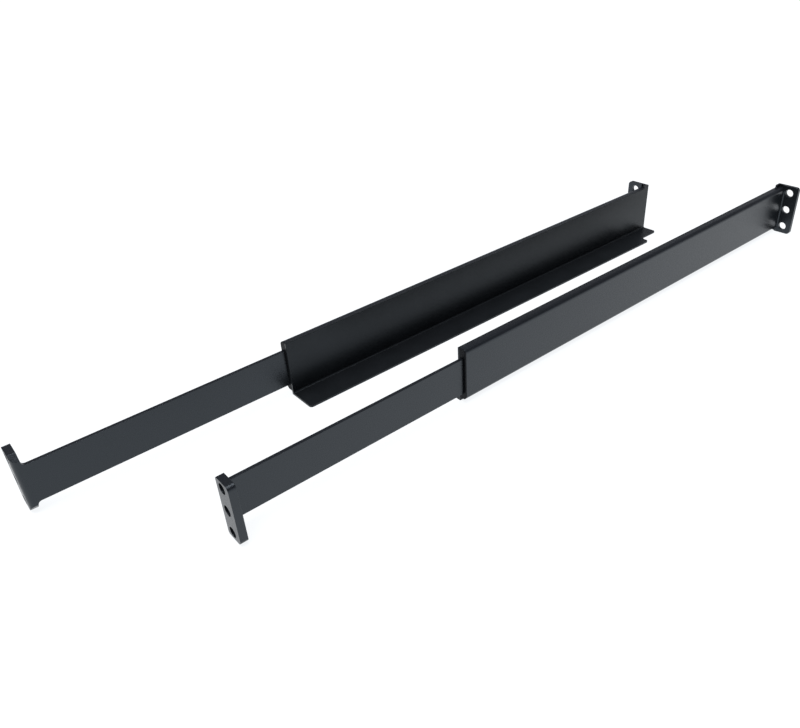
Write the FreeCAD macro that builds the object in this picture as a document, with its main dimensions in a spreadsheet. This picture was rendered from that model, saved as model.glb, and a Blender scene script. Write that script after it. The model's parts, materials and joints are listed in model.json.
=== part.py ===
"""A pair of sliding server rails for a 19-inch rack, one left and one right hand.

Each rail is a flat sleeve of folded sheet steel with a narrow chassis shelf. A flat steel bar
slides inside the sleeve, so that the rail's front and rear ears reach the front and rear posts
of the rack. Everything is in millimetres: X runs across the rack, Y runs along the rails with
the front at -Y, and Z is up. The origin is the centre of the pair's footprint.

One rail's own frame starts at the mouth of its sleeve: x is 0 on the face towards the chassis
and grows outward, y is 0 at the mouth and z is 0 on the underside of the shelf. The left rail
is built by the same functions with x turned round.
"""
import FreeCAD, Part
import os
import Sketcher

SHEET_VALUES = (
    # rack standard
    ("hole_pitch", 15.875, "distance between the square-unit holes of one rack unit"),
    ("hole_bore", 7.0, "clearance bore for an M6 rack screw"),
    ("hole_column", 12.2, "hole column, out from the chassis side of the sleeve"),
    ("ear_rise", 2.4, "top of the rear ear above the top of the sleeve"),
    ("ear_trim", 1.4, "top and bottom of the front ear in from those of the rear ear"),
    ("ear_reach", 20.0, "outer edge of both ears, out from the chassis side of the sleeve"),
    ("ear_corner", 3.0, "rounding of the ears' outer corners"),
    # sleeve
    ("sleeve_length", 405.0, "mouth of the sleeve to the rear face of the rear ear"),
    ("sleeve_height", 42.0, "top of the sleeve above the underside of the shelf"),
    ("sleeve_gauge", 1.5, "sheet thickness of the shelf bracket and the outer channel"),
    ("channel_rise", 2.8, "underside of the outer channel above the underside of the shelf"),
    ("top_roll", 3.0, "outer radius of the channel's rolled top edge"),
    ("lower_bend", 2.5, "outer radius of the channel's lower bend"),
    ("rear_bend", 1.2, "hollow radius of the bend into the rear ear"),
    ("fold_radius", 1.2, "inner radius of the fold between web and shelf"),
    ("shelf_width", 22.0, "shelf, from the chassis side of the web to its free edge"),
    ("shelf_relief_length", 23.0, "length of the relieved rear corner of the shelf"),
    ("shelf_relief_width", 8.5, "width cut off at the relieved rear corner of the shelf"),
    ("shelf_relief_curve", 5.0, "rounding inside the relieved corner"),
    ("shelf_corner", 2.5, "rounding of the shelf's corners"),
    ("rise_radius", 1.2, "concave rounding where the web rises to the rear ear"),
    ("rear_flare", 5.0, "length of the web that stands at the full height of the rear ear"),
    # sliding bar
    ("bar_length", 382.0, "front ear's face to the bar's tail"),
    ("bar_reach", 180.0, "front ear's face to the sleeve's mouth, as set"),
    ("bar_headroom", 6.9, "top of the sleeve above the top of the bar"),
    ("bar_gauge", 2.5, "sheet thickness of the sliding bar"),
    ("bar_level", 7.6, "underside of the bar above the underside of the shelf"),
    ("nut_plate_gauge", 2.5, "thickness of the plate welded behind the front ear"),
    ("front_bend", 3.5, "outer radius of the bend of the front ear"),
    ("bend_relief", 4.0, "length cut off the front ear's corners beside its bend"),
    ("notch_radius", 2.5, "concave rounding between the bar's edges and the front ear"),
    ("tail_corner", 4.0, "rounding of the corners of the bar's tail"),
    # plastic guides
    ("running_gap", 0.3, "clearance of the bar to all that it slides past"),
    ("pad_gauge", 1.0, "thickness of the strips between the web and the bar"),
    ("collar_length", 1.0, "length of the collar's rim in front of the outer channel"),
    ("spigot_length", 12.0, "length of the collar's spigot inside the sleeve"),
    ("spigot_play", 0.1, "play of the spigot inside the sleeve"),
    ("guide_lip", 3.0, "overlap of a guide's lip with the edge of the bar"),
    ("guide_end_gap", 1.0, "end gap of the guides"),
    # glide pad and travel stop
    ("glide_length", 40.0, "length of the glide pad on the bar's tail"),
    ("glide_height", 18.0, "height of the glide pad"),
    ("glide_setback", 6.0, "glide pad in from the end of the bar's tail"),
    ("glide_corner", 3.0, "rounding of the glide pad's corners"),
    ("rivet_bore", 3.2, "bore for the glide pad's flush rivets"),
    ("rivet_inset", 8.0, "rivets in from the ends of the glide pad"),
    ("stop_length", 20.0, "length of the travel stop"),
    ("stop_height", 14.0, "height of the travel stop"),
    ("stop_setback", 26.0, "travel stop's front end behind the mouth"),
    # arrangement of the two rails
    ("pair_gap", 85.0, "clear distance between the two sleeves' chassis sides"),
    ("pair_stagger", 80.0, "how far the right rail lies behind the left one"),
)

document = FreeCAD.newDocument("server_rail_pair")
sheet = document.addObject("Spreadsheet::Sheet", "sizes")


class Size:
    """A length of the model: its value in millimetres and the sheet formula that gives it."""

    def __init__(self, value, formula):
        self.value = value
        self.formula = formula

    def joined(self, other, sign, value):
        other = as_size(other)
        return Size(value(self.value, other.value), f"({self.formula} {sign} {other.formula})")

    def __add__(self, other):
        return self.joined(other, "+", lambda a, b: a + b)

    def __sub__(self, other):
        return self.joined(other, "-", lambda a, b: a - b)

    def __mul__(self, other):
        return self.joined(other, "*", lambda a, b: a * b)

    def __truediv__(self, other):
        return self.joined(other, "/", lambda a, b: a / b)

    def __neg__(self):
        return Size(-self.value, f"(0 - {self.formula})")


def as_size(number):
    """A plain number taken as a Size, so that both can stand in one sum."""
    if isinstance(number, Size):
        return number
    return Size(float(number), f"{number}")


def fill_sheet():
    """Write the driving sizes to the sheet and return them by name."""
    sizes = {}
    for row, (alias, value, meaning) in enumerate(SHEET_VALUES, start=1):
        sheet.set(f"A{row}", meaning)
        sheet.set(f"B{row}", str(value))
        sheet.setAlias(f"B{row}", alias)
        sizes[alias] = Size(value, f"sizes.{alias}")
    document.recompute()
    return sizes


S = fill_sheet()
ZERO = Size(0.0, "0")

# Layers of the sleeve, outward from the chassis side.
WEB_BACK = S["sleeve_gauge"]
BAR_INNER = WEB_BACK + S["pad_gauge"] + S["running_gap"]
BAR_OUTER = BAR_INNER + S["bar_gauge"]
CHANNEL_INNER = BAR_OUTER + S["running_gap"]
SLEEVE_DEPTH = CHANNEL_INNER + S["sleeve_gauge"]
# Levels of the bar, the ears and their holes.
BAR_TOP = S["sleeve_height"] - S["bar_headroom"]
BAR_MIDDLE = (S["bar_level"] + BAR_TOP) / 2
REAR_EAR_TOP = S["sleeve_height"] + S["ear_rise"]
FRONT_EAR_TOP = REAR_EAR_TOP - S["ear_trim"]
HOLE_LEVEL = REAR_EAR_TOP / 2
# Stations along the rail.
EAR_FRONT = S["sleeve_length"] - S["sleeve_gauge"]
FLANGE_FRONT = EAR_FRONT - S["sleeve_gauge"]
BAR_TAIL = S["bar_length"] - S["bar_reach"]
FRONT_EAR_DEPTH = S["bar_gauge"] + S["nut_plate_gauge"]
GUIDE_START = S["collar_length"] + S["spigot_length"] + S["guide_end_gap"]
GUIDE_END = FLANGE_FRONT - S["guide_end_gap"]
GLIDE_END = BAR_TAIL - S["glide_setback"]
GLIDE_START = GLIDE_END - S["glide_length"]


class Hand:
    """One hand of rail: its name, the sign of its outward direction and its place."""

    def __init__(self, name, sign):
        self.name = name
        self.sign = sign

    def outward(self, size):
        """The x coordinate of a distance out from the chassis side of this rail."""
        size = as_size(size)
        if self.sign > 0 or size is ZERO:
            return size
        return -size

    def place(self, body):
        """Bind the body's placement to this rail's place in the pair."""
        rail_length = S["bar_reach"] + S["sleeve_length"]
        mouth = S["bar_reach"] - rail_length / 2
        stagger = S["pair_stagger"] / 2
        if self.sign > 0:
            across = S["pair_gap"] / 2
            along = mouth + stagger
        else:
            across = -(S["pair_gap"] / 2)
            along = mouth - stagger
        body.setExpression("Placement.Base.x", across.formula)
        body.setExpression("Placement.Base.y", along.formula)


def new_body(hand, name):
    """An empty body of one hand of rail."""
    body = document.addObject("PartDesign::Body", f"{hand.name}_{name}")
    body.Label = f"{hand.name}_{name}"
    hand.place(body)
    return body


def new_sketch(body, name, plane, offset):
    """A sketch on one of the body's own origin planes, moved along the plane's normal."""
    sketch = body.newObject("Sketcher::SketchObject", f"{body.Label}_{name}")
    for feature in body.Origin.OriginFeatures:
        if feature.Role == plane:
            sketch.AttachmentSupport = [(feature, "")]
    sketch.MapMode = "FlatFace"
    sketch.setExpression("AttachmentOffset.Base.z", offset.formula)
    return sketch


def pin(sketch, geometry, point, across, up):
    """Fix a point of the sketch by its two distances from the sketch's origin."""
    for kind, axis, size in (("DistanceX", -2, across), ("DistanceY", -1, up)):
        if size is ZERO:
            sketch.addConstraint(Sketcher.Constraint("PointOnObject", geometry, point, axis))
        else:
            index = sketch.addConstraint(
                Sketcher.Constraint(kind, -1, 1, geometry, point, size.value))
            sketch.setExpression(f"Constraints[{index}]", size.formula)


def outline(sketch, corners):
    """Draw a closed outline of straight lines through corners given as pairs of Size."""
    points = [FreeCAD.Vector(across.value, up.value, 0) for across, up in corners]
    lines = []
    for start, end in zip(points, points[1:] + points[:1]):
        lines.append(sketch.addGeometry(Part.LineSegment(start, end), False))
    for line, following in zip(lines, lines[1:] + lines[:1]):
        sketch.addConstraint(Sketcher.Constraint("Coincident", line, 2, following, 1))
    for line, (across, up) in zip(lines, corners):
        pin(sketch, line, 1, across, up)


def circle(sketch, across, up, diameter):
    """Draw a circle with its centre at two distances from the origin."""
    shape = Part.Circle(FreeCAD.Vector(across.value, up.value, 0), FreeCAD.Vector(0, 0, 1),
                        diameter.value / 2)
    index = sketch.addGeometry(shape, False)
    pin(sketch, index, 3, across, up)
    datum = sketch.addConstraint(Sketcher.Constraint("Diameter", index, diameter.value))
    sketch.setExpression(f"Constraints[{datum}]", diameter.formula)


def extrude(body, name, sketch, length, backward):
    """Pad a sketch; backward means against the normal of its plane."""
    feature = body.newObject("PartDesign::Pad", f"{body.Label}_{name}")
    feature.Profile = sketch
    feature.setExpression("Length", length.formula)
    feature.Reversed = backward
    document.recompute()
    return feature


def slice_across(body, name, corners, start, length):
    """Pad an outline drawn across the rail (x, z), from a station on towards the rear."""
    sketch = new_sketch(body, f"{name}_profile", "XZ_Plane", -start)
    outline(sketch, corners)
    return extrude(body, name, sketch, length, True)


def slab(body, hand, name, corners, inner, thickness):
    """Pad an outline drawn on the rail's side (y, z), outward from a distance x."""
    sketch = new_sketch(body, f"{name}_outline", "YZ_Plane", hand.outward(inner))
    outline(sketch, corners)
    return extrude(body, name, sketch, thickness, hand.sign < 0)


def cut(body, name, sketch, length, backward):
    """Pocket a sketch and make sure that it takes material away."""
    before = body.Shape.Volume
    feature = body.newObject("PartDesign::Pocket", f"{body.Label}_{name}")
    feature.Profile = sketch
    feature.setExpression("Length", length.formula)
    feature.Reversed = backward
    document.recompute()
    if not body.Shape.Volume < before:
        raise RuntimeError(f"{feature.Name} cuts nothing")
    return feature


def straight_edges(shape, axis, **places):
    """Names of the straight edges along an axis whose ends lie at the given coordinates."""
    names = []
    for number, edge in enumerate(shape.Edges, start=1):
        if not isinstance(edge.Curve, Part.Line) or len(edge.Vertexes) < 2:
            continue
        start = edge.Vertexes[0].Point
        end = edge.Vertexes[1].Point
        lengthwise = all(abs(getattr(end, other) - getattr(start, other)) < 0.001
                         for other in "xyz" if other != axis)
        placed = all(abs(getattr(point, other) - value) < 0.001
                     for other, value in places.items() for point in (start, end))
        if lengthwise and placed:
            names.append(f"Edge{number}")
    return names


def round_off(body, name, radius, places):
    """Round the straight edges of the body's last feature that lie at the given places."""
    base = body.Tip
    names = []
    for axis, coordinates in places:
        values = {key: size.value for key, size in coordinates.items()}
        found = straight_edges(base.Shape, axis, **values)
        if not found:
            raise RuntimeError(f"{body.Label} {name}: no edge along {axis} at {values}")
        names += found
    feature = body.newObject("PartDesign::Fillet", f"{body.Label}_{name}")
    feature.Base = (base, names)
    feature.setExpression("Radius", radius.formula)
    document.recompute()
    if "Invalid" in feature.State or feature.Shape.isNull():
        raise RuntimeError(f"{body.Label} {name}: the rounding failed")
    return feature


def box_corners(hand, left, right, low, high):
    """The corners of a rectangle across the rail, between two distances out and two levels."""
    return ((hand.outward(left), low), (hand.outward(right), low),
            (hand.outward(right), high), (hand.outward(left), high))


def side_corners(front, rear, low, high):
    """The corners of a rectangle on the rail's side."""
    return ((front, low), (rear, low), (rear, high), (front, high))


def bore_ear(body, hand, front, depth):
    """Bore the three rack holes through an ear, from its front plane to the rear."""
    sketch = new_sketch(body, "holes", "XZ_Plane", -front)
    for step in (-1, 0, 1):
        circle(sketch, hand.outward(S["hole_column"]), HOLE_LEVEL + S["hole_pitch"] * step,
               S["hole_bore"])
    cut(body, "hole_column", sketch, depth, False)


def shelf_bracket(hand):
    """The folded inner plate: web, chassis shelf with a relieved rear corner, and rear ear."""
    body = new_body(hand, "shelf_bracket")
    gauge = S["sleeve_gauge"]
    shelf_edge = -S["shelf_width"]
    profile = ((hand.outward(shelf_edge), ZERO), (hand.outward(gauge), ZERO),
               (hand.outward(gauge), S["sleeve_height"]), (ZERO, S["sleeve_height"]),
               (ZERO, gauge), (hand.outward(shelf_edge), gauge))
    slice_across(body, "plate", profile, ZERO, S["sleeve_length"])
    rise_start = EAR_FRONT - S["rear_flare"]
    rise = side_corners(rise_start, S["sleeve_length"], ZERO, REAR_EAR_TOP)
    slab(body, hand, "rise", rise, ZERO, gauge)
    ear = box_corners(hand, ZERO, S["ear_reach"], ZERO, REAR_EAR_TOP)
    slice_across(body, "ear", ear, EAR_FRONT, gauge)
    relief = new_sketch(body, "relief_outline", "XY_Plane", ZERO)
    relief_start = S["sleeve_length"] - S["shelf_relief_length"]
    relief_edge = hand.outward(shelf_edge + S["shelf_relief_width"])
    outline(relief, ((hand.outward(shelf_edge), relief_start), (relief_edge, relief_start),
                     (relief_edge, S["sleeve_length"]),
                     (hand.outward(shelf_edge), S["sleeve_length"])))
    cut(body, "relief", relief, gauge, True)
    bore_ear(body, hand, EAR_FRONT, gauge)
    free_edge = hand.outward(shelf_edge)
    round_off(body, "relief_curve", S["shelf_relief_curve"],
              (("z", {"x": relief_edge, "y": relief_start}),))
    round_off(body, "shelf_corners", S["shelf_corner"],
              (("z", {"x": free_edge, "y": ZERO}), ("z", {"x": free_edge, "y": relief_start}),
               ("z", {"x": relief_edge, "y": S["sleeve_length"]})))
    round_off(body, "fold", S["fold_radius"], (("y", {"x": ZERO, "z": gauge}),))
    round_off(body, "rise_curve", S["rise_radius"],
              (("x", {"y": rise_start, "z": S["sleeve_height"]}),))
    round_off(body, "ear_corners", S["ear_corner"],
              (("y", {"x": hand.outward(S["ear_reach"]), "z": ZERO}),
               ("y", {"x": hand.outward(S["ear_reach"]), "z": REAR_EAR_TOP})))
    return body


def outer_channel(hand):
    """The folded outer sheet: rolled top, flat wall, lower flange and a foot on the rear ear."""
    body = new_body(hand, "outer_channel")
    gauge = S["sleeve_gauge"]
    front = S["collar_length"]
    height = S["sleeve_height"]
    low = S["channel_rise"]
    profile = ((hand.outward(WEB_BACK), height), (hand.outward(WEB_BACK), height - gauge),
               (hand.outward(CHANNEL_INNER), height - gauge),
               (hand.outward(CHANNEL_INNER), low + gauge),
               (hand.outward(WEB_BACK), low + gauge), (hand.outward(WEB_BACK), low),
               (hand.outward(SLEEVE_DEPTH), low), (hand.outward(SLEEVE_DEPTH), height))
    slice_across(body, "wall", profile, front, EAR_FRONT - front)
    foot = box_corners(hand, CHANNEL_INNER, S["ear_reach"], ZERO, REAR_EAR_TOP)
    slice_across(body, "foot", foot, FLANGE_FRONT, gauge)
    bend_front = FLANGE_FRONT - S["rear_bend"]
    bend_edge = SLEEVE_DEPTH + S["rear_bend"]
    bend_low = low + S["lower_bend"]
    bend = box_corners(hand, SLEEVE_DEPTH, bend_edge, bend_low, height - S["top_roll"])
    slice_across(body, "bend", bend, bend_front, S["rear_bend"])
    hollow = new_sketch(body, "bend_outline", "XY_Plane", bend_low)
    circle(hollow, hand.outward(bend_edge), bend_front, S["rear_bend"] * 2)
    cut(body, "bend_hollow", hollow, height - S["top_roll"] - bend_low, True)
    bore_ear(body, hand, FLANGE_FRONT, gauge)
    outer = hand.outward(SLEEVE_DEPTH)
    inner = hand.outward(CHANNEL_INNER)
    round_off(body, "inner_roll", S["top_roll"] - gauge,
              (("y", {"x": inner, "z": height - gauge}),))
    round_off(body, "top_roll", S["top_roll"], (("y", {"x": outer, "z": height}),))
    round_off(body, "inner_bend", S["lower_bend"] - gauge,
              (("y", {"x": inner, "z": low + gauge}),))
    round_off(body, "lower_bend", S["lower_bend"], (("y", {"x": outer, "z": low}),))
    round_off(body, "foot_corners", S["ear_corner"],
              (("y", {"x": hand.outward(S["ear_reach"]), "z": ZERO}),
               ("y", {"x": hand.outward(S["ear_reach"]), "z": REAR_EAR_TOP})))
    return body


def extension_bar(hand):
    """The flat sliding bar with the taller front ear, and the plate welded behind the ear."""
    body = new_body(hand, "extension_bar")
    gauge = S["bar_gauge"]
    face = -S["bar_reach"]
    low = S["bar_level"]
    slab(body, hand, "bar", side_corners(face, BAR_TAIL, low, BAR_TOP), BAR_INNER, gauge)
    inner = hand.outward(BAR_INNER)
    outer = hand.outward(S["ear_reach"])
    relieved = hand.outward(BAR_INNER + S["bend_relief"])
    foot = S["ear_trim"]
    ear = ((inner, foot + S["bend_relief"]), (relieved, foot), (outer, foot),
           (outer, FRONT_EAR_TOP), (relieved, FRONT_EAR_TOP),
           (inner, FRONT_EAR_TOP - S["bend_relief"]))
    slice_across(body, "ear", ear, face, FRONT_EAR_DEPTH)
    bore_ear(body, hand, face, FRONT_EAR_DEPTH)
    rivets = new_sketch(body, "rivet_holes", "YZ_Plane", hand.outward(BAR_INNER))
    for along in (GLIDE_START + S["rivet_inset"], GLIDE_END - S["rivet_inset"]):
        circle(rivets, along, BAR_MIDDLE, S["rivet_bore"])
    cut(body, "rivet_bores", rivets, gauge, hand.sign > 0)
    ear_back = face + FRONT_EAR_DEPTH
    round_off(body, "notch_curves", S["notch_radius"],
              (("x", {"y": ear_back, "z": low}), ("x", {"y": ear_back, "z": BAR_TOP})))
    round_off(body, "tail_corners", S["tail_corner"],
              (("x", {"y": BAR_TAIL, "z": low}), ("x", {"y": BAR_TAIL, "z": BAR_TOP})))
    round_off(body, "ear_corners", S["ear_corner"],
              (("y", {"x": outer, "z": foot}), ("y", {"x": outer, "z": FRONT_EAR_TOP})))
    round_off(body, "bend", S["front_bend"], (("z", {"x": inner, "y": face}),))
    return body


def mouth_collar(hand):
    """The moulded collar at the sleeve's mouth, with a spigot inside the sleeve."""
    body = new_body(hand, "mouth_collar")
    height = S["sleeve_height"]
    low = S["channel_rise"]
    play = S["spigot_play"]
    rim = box_corners(hand, WEB_BACK, SLEEVE_DEPTH, low, height)
    slice_across(body, "rim", rim, ZERO, S["collar_length"])
    spigot = box_corners(hand, WEB_BACK + play, CHANNEL_INNER - play, low + S["lower_bend"],
                         height - S["top_roll"])
    slice_across(body, "spigot", spigot, S["collar_length"], S["spigot_length"])
    gap = S["running_gap"]
    slot = new_sketch(body, "slot_outline", "XZ_Plane", ZERO)
    outline(slot, box_corners(hand, BAR_INNER - gap, CHANNEL_INNER, S["bar_level"] - gap,
                              BAR_TOP + gap))
    cut(body, "slot", slot, S["collar_length"] + S["spigot_length"], False)
    outer = hand.outward(SLEEVE_DEPTH)
    round_off(body, "rim_roll", S["top_roll"], (("y", {"x": outer, "z": height}),))
    round_off(body, "rim_bend", S["lower_bend"], (("y", {"x": outer, "z": low}),))
    return body


def bar_guide(hand, name, edge, backstop, lip_end):
    """A guide strip: a block beyond one edge of the bar, with a lip behind that edge."""
    body = new_body(hand, name)
    play = S["spigot_play"]
    inner = WEB_BACK + play
    step = BAR_INNER - S["running_gap"]
    profile = ((hand.outward(inner), backstop), (hand.outward(CHANNEL_INNER - play), backstop),
               (hand.outward(CHANNEL_INNER - play), edge), (hand.outward(step), edge),
               (hand.outward(step), lip_end), (hand.outward(inner), lip_end))
    slice_across(body, "strip", profile, GUIDE_START, GUIDE_END - GUIDE_START)
    return body


def upper_guide(hand):
    """The guide strip over the bar."""
    return bar_guide(hand, "upper_guide", BAR_TOP + S["running_gap"],
                     S["sleeve_height"] - S["top_roll"], BAR_TOP - S["guide_lip"])


def lower_guide(hand):
    """The guide strip under the bar."""
    return bar_guide(hand, "lower_guide", S["bar_level"] - S["running_gap"],
                     S["channel_rise"] + S["lower_bend"], S["bar_level"] + S["guide_lip"])


def glide_pad(hand):
    """The pad on the bar's tail that slides on the web and meets the travel stop."""
    body = new_body(hand, "glide_pad")
    low = BAR_MIDDLE - S["glide_height"] / 2
    high = BAR_MIDDLE + S["glide_height"] / 2
    inner = BAR_INNER - S["pad_gauge"]
    slab(body, hand, "pad", side_corners(GLIDE_START, GLIDE_END, low, high), inner,
         S["pad_gauge"])
    rivets = new_sketch(body, "rivet_holes", "YZ_Plane", hand.outward(inner))
    for along in (GLIDE_START + S["rivet_inset"], GLIDE_END - S["rivet_inset"]):
        circle(rivets, along, BAR_MIDDLE, S["rivet_bore"])
    cut(body, "rivet_bores", rivets, S["pad_gauge"], hand.sign > 0)
    round_off(body, "rear_corners", S["glide_corner"],
              (("x", {"y": GLIDE_END, "z": low}), ("x", {"y": GLIDE_END, "z": high})))
    return body


def glide_rivets(hand):
    """The two flush rivets through the glide pad and the bar."""
    stations = (GLIDE_START + S["rivet_inset"], GLIDE_END - S["rivet_inset"])
    shanks = []
    for number, along in enumerate(stations, start=1):
        shank = document.addObject("Part::Cylinder", f"{hand.name}_rivet_{number}")
        shank.setExpression("Radius", f"{S['rivet_bore'].formula} / 2")
        shank.setExpression("Height", (S["bar_gauge"] + S["pad_gauge"]).formula)
        shank.Placement.Rotation = FreeCAD.Rotation(FreeCAD.Vector(0, 1, 0), 90 * hand.sign)
        inner = hand.outward(BAR_INNER - S["pad_gauge"])
        shank.setExpression("Placement.Base.x", inner.formula)
        shank.setExpression("Placement.Base.y", along.formula)
        shank.setExpression("Placement.Base.z", BAR_MIDDLE.formula)
        shanks.append(shank)
    group = document.addObject("Part::Compound", f"{hand.name}_glide_rivets")
    group.Label = f"{hand.name}_glide_rivets"
    group.Links = shanks
    hand.place(group)
    return group


def travel_stop(hand):
    """The strip welded to the web that the glide pad meets when the bar is pulled out."""
    body = new_body(hand, "travel_stop")
    low = BAR_MIDDLE - S["stop_height"] / 2
    high = BAR_MIDDLE + S["stop_height"] / 2
    start = S["stop_setback"]
    slab(body, hand, "strip", side_corners(start, start + S["stop_length"], low, high),
         WEB_BACK, S["pad_gauge"])
    return body


PIECES = (shelf_bracket, outer_channel, extension_bar, mouth_collar, upper_guide, lower_guide,
          glide_pad, glide_rivets, travel_stop)
HANDS = (Hand("left", -1), Hand("right", 1))


def check(pieces):
    """Stop if any object of the document failed or any piece has no valid solid."""
    for item in document.Objects:
        if "Invalid" in item.State or "Error" in item.State:
            raise RuntimeError(f"{item.Name} failed: {item.State}")
    for piece in pieces:
        if piece.Shape.isNull() or not piece.Shape.isValid() or not piece.Shape.Solids:
            raise RuntimeError(f"{piece.Label} has no valid solid")


def main():
    """Build both rails, check them and write one file for each piece."""
    pieces = [make(hand) for hand in HANDS for make in PIECES]
    document.recompute()
    check(pieces)
    os.makedirs("parts", exist_ok=True)
    for piece in pieces:
        piece.Shape.exportStep(f"parts/{piece.Label}.step")
        print(f"{piece.Label}: {piece.Shape.Volume:.1f} mm3, {len(piece.Shape.Solids)} solid(s)")


main()
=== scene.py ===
"""Looks of a mirrored pair of sliding server rails.

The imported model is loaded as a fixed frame, in metres. This script gives every piece its finish,
and sets the floor, the light and the camera.
"""
import json
import logging
import math
from abc import ABC, abstractmethod
from dataclasses import dataclass
from enum import Enum
from typing import ClassVar

import bpy
from mathutils import Euler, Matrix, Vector

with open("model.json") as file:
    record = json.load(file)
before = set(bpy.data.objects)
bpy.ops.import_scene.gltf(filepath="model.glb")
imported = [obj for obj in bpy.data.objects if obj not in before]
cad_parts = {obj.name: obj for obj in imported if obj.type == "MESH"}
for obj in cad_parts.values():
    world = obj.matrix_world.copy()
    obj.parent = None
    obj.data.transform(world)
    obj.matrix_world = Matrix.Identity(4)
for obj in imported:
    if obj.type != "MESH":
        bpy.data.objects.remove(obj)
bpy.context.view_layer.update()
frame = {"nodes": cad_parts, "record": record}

LOG = logging.getLogger("server_rails")
MILLIMETRE = 0.001

Colour = tuple[float, float, float]
Triple = tuple[float, float, float]
Span = tuple[float, float]
Socket = bpy.types.NodeSocket

WHITE: Colour = (1.0, 1.0, 1.0)


class Side(Enum):
    """The two hands of rail."""

    LEFT = "left"
    RIGHT = "right"


class NodeTree:
    """A short way to write shader trees: nodes are made with their values and linked by name."""

    EDGE_SAMPLES = 6

    def __init__(self, tree: bpy.types.NodeTree) -> None:
        """Start from an empty tree.

        Args:
            tree: The node tree to fill.
        """
        self.tree = tree
        tree.nodes.clear()

    def add(self, kind: str, **values: object) -> bpy.types.Node:
        """Add a node.

        Args:
            kind: The node's type name.
            **values: Socket values by socket name with underscores for blanks, or, where the
                node has no such socket, values of its own properties.

        Returns:
            The new node.
        """
        node = self.tree.nodes.new(kind)
        for name, value in values.items():
            socket = node.inputs.get(name.replace("_", " "))
            if socket is None:
                setattr(node, name, value)
            else:
                socket.default_value = value
        return node

    def link(self, source: Socket, target: Socket) -> None:
        """Join an output socket to an input socket.

        Args:
            source: The output socket.
            target: The input socket.
        """
        self.tree.links.new(source, target)

    def ramp(self, factor: Socket, places: tuple[float, ...],
             colours: tuple[Colour, ...]) -> Socket:
        """Turn a factor into a colour.

        Args:
            factor: The socket that drives the ramp.
            places: Where the ramp's stops are, from low to high.
            colours: The linear colour of each stop.

        Returns:
            The ramp's colour socket.
        """
        node = self.add("ShaderNodeValToRGB")
        elements = node.color_ramp.elements
        for place in places[len(elements):]:
            elements.new(place)
        for element, place, colour in zip(elements, places, colours):
            element.position = place
            element.color = (*colour, 1.0)
        self.link(factor, node.inputs["Fac"])
        return node.outputs["Color"]

    def stretch(self, factor: Socket, low: float, high: float) -> Socket:
        """Stretch a factor from 0 to 1 over another range.

        Args:
            factor: The socket with the factor.
            low: What 0 becomes.
            high: What 1 becomes.

        Returns:
            The socket with the stretched value.
        """
        node = self.add("ShaderNodeMapRange", To_Min=low, To_Max=high)
        self.link(factor, node.inputs["Value"])
        return node.outputs["Result"]

    def noise(self, place: Socket, scale: float, detail: float,
              roughness: float = 0.5) -> Socket:
        """Add a noise texture.

        Args:
            place: The coordinates that it reads.
            scale: Features per metre.
            detail: Octaves of finer noise.
            roughness: Weight of the finer octaves.

        Returns:
            The noise's factor socket.
        """
        node = self.add("ShaderNodeTexNoise", Scale=scale, Detail=detail, Roughness=roughness)
        self.link(place, node.inputs["Vector"])
        return node.outputs["Fac"]

    def largest(self, first: Socket, *others: Socket) -> Socket:
        """Take the largest of several values.

        Args:
            first: The socket with the first value.
            *others: The sockets with the other values.

        Returns:
            The socket with the largest value.
        """
        largest = first
        for other in others:
            node = self.add("ShaderNodeMath", operation="MAXIMUM")
            self.link(largest, node.inputs[0])
            self.link(other, node.inputs[1])
            largest = node.outputs["Value"]
        return largest

    def relief(self, height: Socket, strength: float, depth: float,
               edge_radius: float) -> Socket:
        """Add the relief of a surface, on shading that is rounded over every sharp edge.

        Args:
            height: The socket with the relief's height, from 0 to 1.
            strength: How much of the relief shows.
            depth: The height that 1 stands for.
            edge_radius: The radius of the rounded edges.

        Returns:
            The socket with the normal.
        """
        edge = self.add("ShaderNodeBevel", samples=self.EDGE_SAMPLES, Radius=edge_radius)
        bump = self.add("ShaderNodeBump", Strength=strength, Distance=depth)
        self.link(height, bump.inputs["Height"])
        self.link(edge.outputs["Normal"], bump.inputs["Normal"])
        return bump.outputs["Normal"]

    def end(self, source: Socket, kind: str = "ShaderNodeOutputMaterial") -> None:
        """End the tree in its output.

        Args:
            source: The socket with the finished shader.
            kind: The output node's type name.
        """
        self.link(source, self.add(kind).inputs["Surface"])


@dataclass(frozen=True)
class Finish(ABC):
    """A procedural finish, with a colour and a roughness that both wander between two ends."""

    STOPS: ClassVar[Span] = (0.3, 0.7)

    name: str
    deep: Colour
    pale: Colour
    roughness: Span

    @abstractmethod
    def shade(self, tree: NodeTree, place: Socket) -> bpy.types.Node:
        """Add the finish's own nodes.

        Args:
            tree: The tree to add them to.
            place: The coordinates of the point being shaded.

        Returns:
            The shader node.
        """

    def build(self) -> bpy.types.Material:
        """Make the material.

        Returns:
            The finished material.
        """
        material = bpy.data.materials.new(self.name)
        material.use_nodes = True
        tree = NodeTree(material.node_tree)
        place = tree.add("ShaderNodeTexCoord").outputs["Object"]
        tree.end(self.shade(tree, place).outputs["BSDF"])
        return material

    def vary(self, tree: NodeTree, shader: bpy.types.Node, tone: Socket, wear: Socket) -> None:
        """Let a shader's colour and roughness wander.

        Args:
            tree: The tree that holds the shader.
            shader: The shader node.
            tone: The factor that drives the colour.
            wear: The factor that drives the roughness.
        """
        tree.link(tree.ramp(tone, self.STOPS, (self.deep, self.pale)),
                  shader.inputs["Base Color"])
        tree.link(tree.stretch(wear, *self.roughness), shader.inputs["Roughness"])


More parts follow.
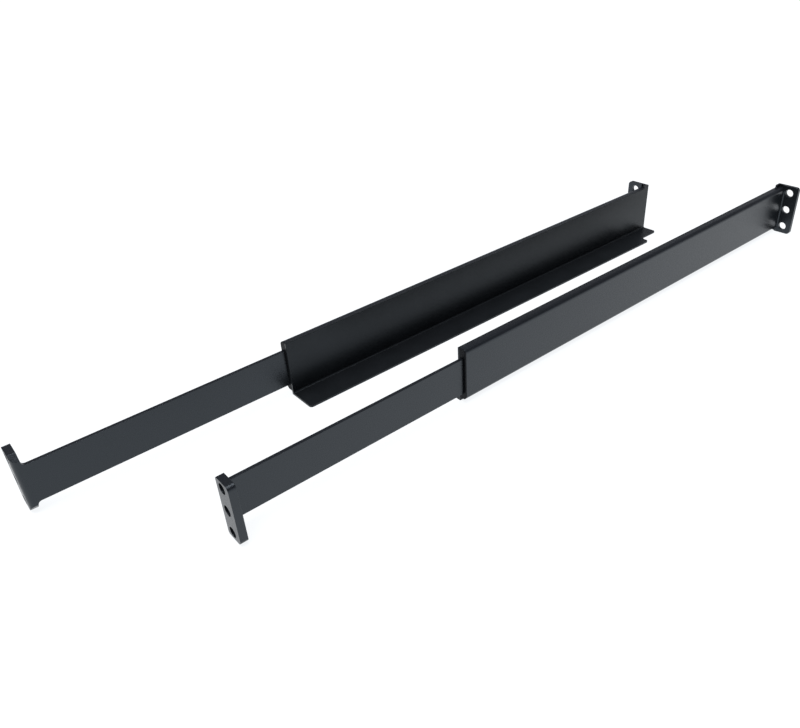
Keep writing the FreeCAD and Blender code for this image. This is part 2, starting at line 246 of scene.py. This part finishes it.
@dataclass(frozen=True)
class PowderCoat(Finish):
    """Satin black powder coat: fine orange peel, faint mottling and slightly uneven gloss."""

    name: str = "satin_black_powder_coat"
    deep: Colour = (0.0050, 0.0056, 0.0074)
    pale: Colour = (0.0072, 0.0080, 0.0104)
    roughness: Span = (0.21, 0.40)
    sheen: Colour = (0.78, 0.89, 1.0)
    index: float = 1.6
    gloss: float = 0.45
    mottle_scale: float = 55.0
    mottle_detail: float = 3.0
    peel_scale: float = 1300.0
    peel_detail: float = 2.0
    peel_roughness: float = 0.55
    peel_height: float = 0.08 * MILLIMETRE
    peel_strength: float = 0.6
    grit_scale: float = 4200.0
    grit_detail: float = 1.0
    grit_share: float = 0.3
    edge_radius: float = 0.3 * MILLIMETRE

    def shade(self, tree: NodeTree, place: Socket) -> bpy.types.Node:
        """Add the mottling, the peel and the finer grit on it.

        Args:
            tree: The tree to add them to.
            place: The coordinates of the point being shaded.

        Returns:
            The shader node.
        """
        mottle = tree.noise(place, self.mottle_scale, self.mottle_detail)
        peel = tree.noise(place, self.peel_scale, self.peel_detail, self.peel_roughness)
        grit = tree.noise(place, self.grit_scale, self.grit_detail)
        shader = tree.add("ShaderNodeBsdfPrincipled", IOR=self.index,
                          Specular_IOR_Level=self.gloss, Specular_Tint=(*self.sheen, 1.0))
        self.vary(tree, shader, mottle, peel)
        height = tree.add("ShaderNodeMath", operation="MULTIPLY_ADD")
        height.inputs[1].default_value = self.grit_share
        tree.link(grit, height.inputs[0])
        tree.link(peel, height.inputs[2])
        tree.link(tree.relief(height.outputs["Value"], self.peel_strength, self.peel_height,
                              self.edge_radius), shader.inputs["Normal"])
        return shader


@dataclass(frozen=True)
class Moulding(Finish):
    """Moulded plastic with a fine spark-eroded grain."""

    sheen: Colour = WHITE
    index: float = 1.46
    gloss: float = 0.5
    cloud_scale: float = 120.0
    cloud_detail: float = 2.0
    grain_scale: float = 2600.0
    grain_detail: float = 2.0
    grain_roughness: float = 0.6
    grain_height: float = 0.02 * MILLIMETRE
    grain_strength: float = 0.5
    edge_radius: float = 0.2 * MILLIMETRE

    def shade(self, tree: NodeTree, place: Socket) -> bpy.types.Node:
        """Add the clouding and the grain.

        Args:
            tree: The tree to add them to.
            place: The coordinates of the point being shaded.

        Returns:
            The shader node.
        """
        cloud = tree.noise(place, self.cloud_scale, self.cloud_detail)
        grain = tree.noise(place, self.grain_scale, self.grain_detail, self.grain_roughness)
        shader = tree.add("ShaderNodeBsdfPrincipled", IOR=self.index,
                          Specular_IOR_Level=self.gloss, Specular_Tint=(*self.sheen, 1.0))
        self.vary(tree, shader, cloud, grain)
        tree.link(tree.relief(grain, self.grain_strength, self.grain_height, self.edge_radius),
                  shader.inputs["Normal"])
        return shader


@dataclass(frozen=True)
class ZincPlate(Finish):
    """Bright zinc-plated steel with drawn-out brushing."""

    name: str = "zinc_plated_steel"
    deep: Colour = (0.42, 0.43, 0.45)
    pale: Colour = (0.62, 0.62, 0.63)
    roughness: Span = (0.26, 0.42)
    brush_squeeze: Triple = (1.0, 0.08, 1.0)
    brush_scale: float = 2400.0
    brush_detail: float = 3.0

    def shade(self, tree: NodeTree, place: Socket) -> bpy.types.Node:
        """Add the brushing, drawn out along the rail.

        Args:
            tree: The tree to add it to.
            place: The coordinates of the point being shaded.

        Returns:
            The shader node.
        """
        drawn_out = tree.add("ShaderNodeMapping", Scale=self.brush_squeeze)
        tree.link(place, drawn_out.inputs["Vector"])
        brushing = tree.noise(drawn_out.outputs["Vector"], self.brush_scale, self.brush_detail)
        shader = tree.add("ShaderNodeBsdfPrincipled", Metallic=1.0)
        self.vary(tree, shader, brushing, brushing)
        return shader


FINISHES: dict[str, Finish] = {
    "black_powder_coat": PowderCoat(),
    # The shelf brackets get a copy of the same powder coat, paler and with less gloss, so that
    # their web mirrors less: painted shade for the shaded floor between the rails.
    "shelf_bracket": PowderCoat("powder_coat_with_painted_shade",
                                deep=(0.0062, 0.0072, 0.0085), pale=(0.0088, 0.0100, 0.0118),
                                roughness=(0.25, 0.44), gloss=0.26),
    "black_moulding": Moulding("black_moulded_collar",
                               deep=(0.0045, 0.0048, 0.0056), pale=(0.0070, 0.0074, 0.0086),
                               roughness=(0.50, 0.62), gloss=0.18, sheen=(0.78, 0.86, 1.0)),
    "guide_plastic": Moulding("black_guide_plastic",
                              deep=(0.016, 0.016, 0.018), pale=(0.024, 0.024, 0.026),
                              roughness=(0.34, 0.46)),
    "glide_plastic": Moulding("natural_glide_plastic",
                              deep=(0.60, 0.57, 0.50), pale=(0.70, 0.67, 0.60),
                              roughness=(0.38, 0.50)),
    "bright_steel": ZincPlate(),
}


def dress(piece: bpy.types.Object, material: bpy.types.Material) -> None:
    """Give a piece the same finish in all its material slots.

    Args:
        piece: The mesh object.
        material: The finish.
    """
    for slot in piece.material_slots:
        slot.material = material


@dataclass(frozen=True)
class Rail:
    """One rail of the pair, with all of its pieces."""

    # The shelf brackets wear a less glossy copy of the powder coat, a painted shade in their
    # reflections.
    OWN_FINISH: ClassVar[dict[str, str]] = {"shelf_bracket": "shelf_bracket"}

    side: Side
    materials: dict[str, bpy.types.Material]
    slots: dict[str, str]

    def build(self) -> int:
        """Dress every piece of this rail, by its own finish or else by its slot.

        Returns:
            The number of pieces dressed.
        """
        prefix = f"{self.side.value}_"
        names = sorted(name for name in frame["nodes"] if name.startswith(prefix))
        for name in names:
            finish = self.OWN_FINISH.get(name.removeprefix(prefix), self.slots[name])
            dress(frame["nodes"][name], self.materials[finish])
            LOG.info("%s dressed as %s", name, finish)
        return len(names)


@dataclass(frozen=True)
class Studio:
    """A white floor, a soft key light overhead, and a room that is pale low down and dim above."""

    floor_size: float = 24.0
    floor_colour: Colour = (0.15, 0.15, 0.15)
    floor_glow: Colour = (0.96, 0.98, 1.0)
    floor_white: float = 0.92
    room_colours: tuple[Colour, ...] = (WHITE, (0.55, 0.57, 0.61), (0.14, 0.145, 0.16))
    room_heights: tuple[float, ...] = (0.0, 0.12, 0.36)
    key_spread: float = 50.0
    key_strength: float = 3.4
    key_direction: Triple = (0.0, -0.16, 1.0)

    def build(self) -> None:
        """Make the floor, the key light and the room."""
        self.lay_floor()
        self.hang_key()
        self.fill_room()

    def lay_floor(self) -> None:
        """Lay a large floor that looks white, also in reflections, and keeps a soft shadow."""
        bpy.ops.mesh.primitive_plane_add(size=self.floor_size, location=(0.0, 0.0, 0.0))
        floor = bpy.context.object
        floor.name = "studio_floor"
        floor.data.materials.append(self.mix_floor_paint())

    def mix_floor_paint(self) -> bpy.types.Material:
        """Make a matt paint that also glows, for the rays that see it and not for the light.

        Returns:
            The floor's material.
        """
        material = bpy.data.materials.new("white_studio_floor")
        material.use_nodes = True
        tree = NodeTree(material.node_tree)
        matt = tree.add("ShaderNodeBsdfDiffuse", Color=(*self.floor_colour, 1.0))
        glow = tree.add("ShaderNodeEmission", Color=(*self.floor_glow, 1.0),
                        Strength=self.floor_white)
        dark = tree.add("ShaderNodeEmission", Strength=0.0)
        path = tree.add("ShaderNodeLightPath")
        seen = tree.largest(path.outputs["Is Camera Ray"], path.outputs["Is Glossy Ray"],
                            path.outputs["Is Transmission Ray"])
        gate = tree.add("ShaderNodeMixShader")
        tree.link(seen, gate.inputs["Fac"])
        tree.link(dark.outputs["Emission"], gate.inputs[1])
        tree.link(glow.outputs["Emission"], gate.inputs[2])
        both = tree.add("ShaderNodeAddShader")
        tree.link(matt.outputs["BSDF"], both.inputs[0])
        tree.link(gate.outputs["Shader"], both.inputs[1])
        tree.end(both.outputs["Shader"])
        return material

    def hang_key(self) -> None:
        """Hang the key light over the rails, as soft as a wide ceiling panel."""
        lamp = bpy.data.lights.new("key", type="SUN")
        lamp.angle = math.radians(self.key_spread)
        lamp.energy = self.key_strength
        holder = bpy.data.objects.new("key", lamp)
        holder.location = self.key_direction
        holder.rotation_euler = Vector(self.key_direction).to_track_quat("Z", "Y").to_euler()
        bpy.context.scene.collection.objects.link(holder)

    def fill_room(self) -> None:
        """Fill the world with a room that is pale at the horizon and fades to a dim ceiling."""
        world = bpy.data.worlds.new("studio_room")
        world.use_nodes = True
        bpy.context.scene.world = world
        tree = NodeTree(world.node_tree)
        direction = tree.add("ShaderNodeTexCoord").outputs["Generated"]
        split = tree.add("ShaderNodeSeparateXYZ")
        tree.link(direction, split.inputs["Vector"])
        room = tree.add("ShaderNodeBackground")
        tree.link(tree.ramp(split.outputs["Z"], self.room_heights, self.room_colours),
                  room.inputs["Color"])
        tree.end(room.outputs["Background"], "ShaderNodeOutputWorld")


@dataclass(frozen=True)
class Viewpoint:
    """The camera: right of the rails' front ends, looking back and down along them."""

    PLUMB: ClassVar[float] = 90.0

    eye: Triple = (0.35397, -0.35386, 0.30098)
    turn: float = 53.166
    tilt: float = 32.732
    roll: float = 4.185
    lens: float = 33.759
    near_limit: float = 10.0 * MILLIMETRE

    def build(self) -> None:
        """Make the camera and take it as the scene's own."""
        data = bpy.data.cameras.new("viewpoint")
        data.lens = self.lens
        data.clip_start = self.near_limit
        camera = bpy.data.objects.new("viewpoint", data)
        turn = Euler((0.0, 0.0, math.radians(self.turn))).to_matrix()
        tilt = Euler((math.radians(self.PLUMB - self.tilt), 0.0, 0.0)).to_matrix()
        roll = Euler((0.0, 0.0, -math.radians(self.roll))).to_matrix()
        camera.matrix_world = (turn @ tilt @ roll).to_4x4()
        camera.location = self.eye
        bpy.context.scene.collection.objects.link(camera)
        bpy.context.scene.camera = camera


def record_slots() -> dict[str, str]:
    """Read which material slot the record gives each node.

    Returns:
        The slot names by node name.
    """
    return {part["node"]: part["material_slot"] for part in frame["record"]["subparts"]}


def main() -> None:
    """Dress both rails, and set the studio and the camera."""
    logging.basicConfig(level=logging.INFO, format="%(name)s: %(message)s")
    bpy.context.scene.view_settings.view_transform = "Standard"
    materials = {slot: finish.build() for slot, finish in FINISHES.items()}
    slots = record_slots()
    for side in Side:
        count = Rail(side, materials, slots).build()
        LOG.info("%s rail: %d pieces", side.value, count)
    Studio().build()
    Viewpoint().build()


if __name__ == "__main__":
    main()
